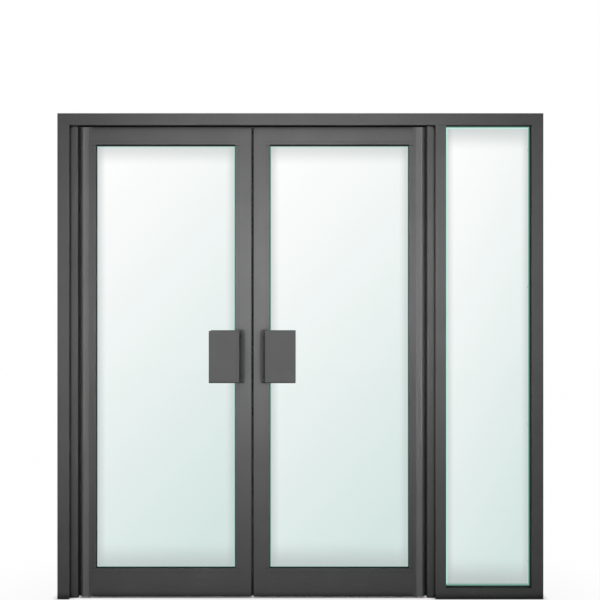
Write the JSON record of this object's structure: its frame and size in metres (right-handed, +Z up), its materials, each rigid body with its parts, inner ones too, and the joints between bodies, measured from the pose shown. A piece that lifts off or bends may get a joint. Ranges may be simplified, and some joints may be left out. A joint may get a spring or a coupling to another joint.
{
  "type": "aluminium shop door",
  "caption": "Aluminium shopfront door set: frame, swinging glazed leaves on round-heeled pivot stiles with plate pulls, and a fixed glazed sidelight",
  "frame": {"origin": "on the left jamb's wall face, at floor level and mid-depth", "axes": "+X along the wall to the right as seen from the front, +Y from front to back, +Z up"},
  "size_m": [2.1, 0.144, 2.1],
  "materials": {
    "charcoal_coat": "satin",
    "pull_coat": "satin",
    "clear_glass": "polished",
    "black_rubber": "matte",
    "grey_pile": "matte",
    "pivot_steel": "satin",
    "bush_plastic": "matte"
  },
  "bodies": {
    "frame": {"left_jamb": "charcoal_coat", "right_jamb": "charcoal_coat", "head": "charcoal_coat", "mullion": "charcoal_coat", "sidelight_sill": "charcoal_coat", "sidelight_glass": "clear_glass", "sidelight_gaskets": "black_rubber", "sidelight_setting_blocks": "black_rubber", "left_pivot_post": "charcoal_coat", "right_pivot_post": "charcoal_coat", "left_heel_seal": "grey_pile", "right_heel_seal": "grey_pile", "head_filler": "charcoal_coat", "left_top_pivot": "pivot_steel", "right_top_pivot": "pivot_steel", "left_floor_pivot": "pivot_steel", "right_floor_pivot": "pivot_steel"},
    "left_leaf": {"left_pivot_stile": "charcoal_coat", "left_meeting_stile": "charcoal_coat", "left_top_rail": "charcoal_coat", "left_bottom_rail": "charcoal_coat", "left_glass": "clear_glass", "left_outer_beads": "charcoal_coat", "left_inner_beads": "charcoal_coat", "left_gaskets": "black_rubber", "left_setting_blocks": "black_rubber", "left_meeting_seal": "grey_pile", "left_outer_pull": "pull_coat", "left_inner_pull": "pull_coat", "left_bottom_shoe": "bush_plastic", "left_top_bush": "bush_plastic"},
    "right_leaf": {"right_pivot_stile": "charcoal_coat", "right_meeting_stile": "charcoal_coat", "right_top_rail": "charcoal_coat", "right_bottom_rail": "charcoal_coat", "right_glass": "clear_glass", "right_outer_beads": "charcoal_coat", "right_inner_beads": "charcoal_coat", "right_gaskets": "black_rubber", "right_setting_blocks": "black_rubber", "right_meeting_seal": "grey_pile", "right_outer_pull": "pull_coat", "right_inner_pull": "pull_coat", "right_bottom_shoe": "bush_plastic", "right_top_bush": "bush_plastic"}
  },
  "joints": [
    {"name": "left_swing", "type": "hinge", "parent": "frame", "child": "left_leaf", "pos_m": [0.118, 0, 0], "axis": [0, 0, 1], "range_deg": [-90, 90], "stiffness_Nm_per_rad": 12},
    {"name": "right_swing", "type": "hinge", "parent": "frame", "child": "right_leaf", "pos_m": [1.567, 0, 0], "axis": [0, 0, -1], "range_deg": [-90, 90], "stiffness_Nm_per_rad": 12}
  ]
}
